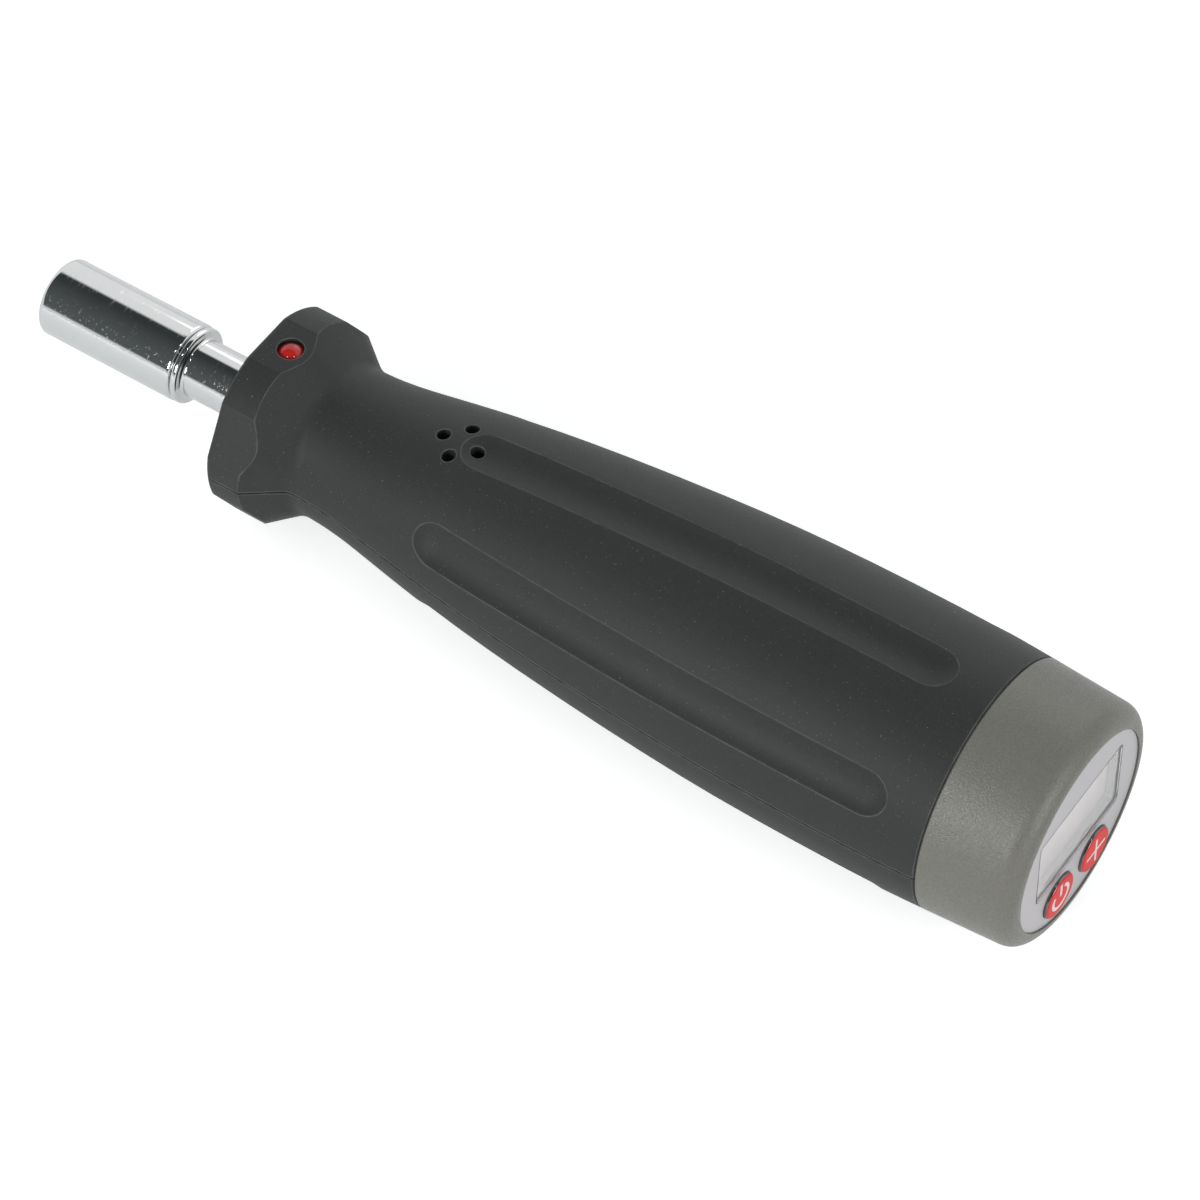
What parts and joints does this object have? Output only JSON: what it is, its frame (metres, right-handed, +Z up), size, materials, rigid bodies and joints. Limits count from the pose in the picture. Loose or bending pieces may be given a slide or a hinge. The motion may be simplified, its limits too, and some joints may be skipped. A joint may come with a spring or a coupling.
{
  "type": "digital torque screwdriver",
  "caption": "Electronic torque screwdriver: fluted soft-touch handle, chromed hex bit holder, display and push buttons in the end cap, and a battery door underneath.",
  "frame": {"origin": "on the surface that the tool rests on, below the middle of its length and width", "axes": "+X along the tool from the bit to the display, +Z up from the battery door to the indicator lamp"},
  "size_m": [0.1808, 0.041, 0.0406],
  "materials": {
    "charcoal_soft_touch": "matte, fine speckle",
    "cap_grey": "satin",
    "face_silver": "satin",
    "chrome": "polished",
    "steel": "machined",
    "magnet": "plated",
    "bush_plastic": "moulded",
    "foil": "etched foil",
    "black_plastic": "moulded",
    "clear_window": "clear",
    "lcd_grey": "satin",
    "button_red": "glossy",
    "lamp_red": "clear red",
    "board_green": "solder mask",
    "contact_metal": "nickel plated",
    "cell_wrap": "printed sleeve",
    "tray_plastic": "moulded",
    "lead_sleeve": "flexible",
    "ribbon": "flexible",
    "conductive_rubber": "striped"
  },
  "bodies": {
    "handle": {"handle_shell_upper": "charcoal_soft_touch", "handle_shell_lower": "charcoal_soft_touch", "shell_screws": "steel", "bit_holder": "chrome", "bit_magnet": "magnet", "cross_pin": "steel", "front_bush": "bush_plastic", "shaft_clip": "steel", "torque_sensor": "steel", "strain_gauges": "foil", "sensor_screws": "steel", "anchor_block": "black_plastic", "buzzer": "black_plastic", "buzzer_leads": "lead_sleeve", "indicator_led": "lamp_red", "led_leads": "lead_sleeve", "sensor_leads": "lead_sleeve", "battery_tray": "tray_plastic", "battery_cells": "cell_wrap", "battery_springs": "contact_metal", "battery_contacts": "contact_metal", "main_board": "board_green", "main_board_screws": "steel", "display_board": "board_green", "display_board_screws": "steel", "display_ribbon": "ribbon", "end_cap": "cap_grey", "face_plate": "face_silver", "display_window": "clear_window", "lcd_panel": "lcd_grey", "lcd_frame": "black_plastic", "zebra_strips": "conductive_rubber", "tact_switches": "black_plastic"},
    "power_button_body": {"power_button": "button_red", "power_switch_plunger": "black_plastic"},
    "plus_button_body": {"plus_button": "button_red", "plus_switch_plunger": "black_plastic"},
    "battery_door_body": {"battery_door": "charcoal_soft_touch"}
  },
  "joints": [
    {"name": "power_press", "type": "slide", "parent": "handle", "child": "power_button_body", "axis": [-1, 0, 0], "range_m": [0, 0.0005], "stiffness_N_per_m": 3000},
    {"name": "plus_press", "type": "slide", "parent": "handle", "child": "plus_button_body", "axis": [-1, 0, 0], "range_m": [0, 0.0005], "stiffness_N_per_m": 3000},
    {"name": "battery_door_swing", "type": "hinge", "parent": "handle", "child": "battery_door_body", "pos_m": [0.00868, 0, 0.00231], "axis": [0, 1, 0], "range_deg": [0, 25]}
  ]
}
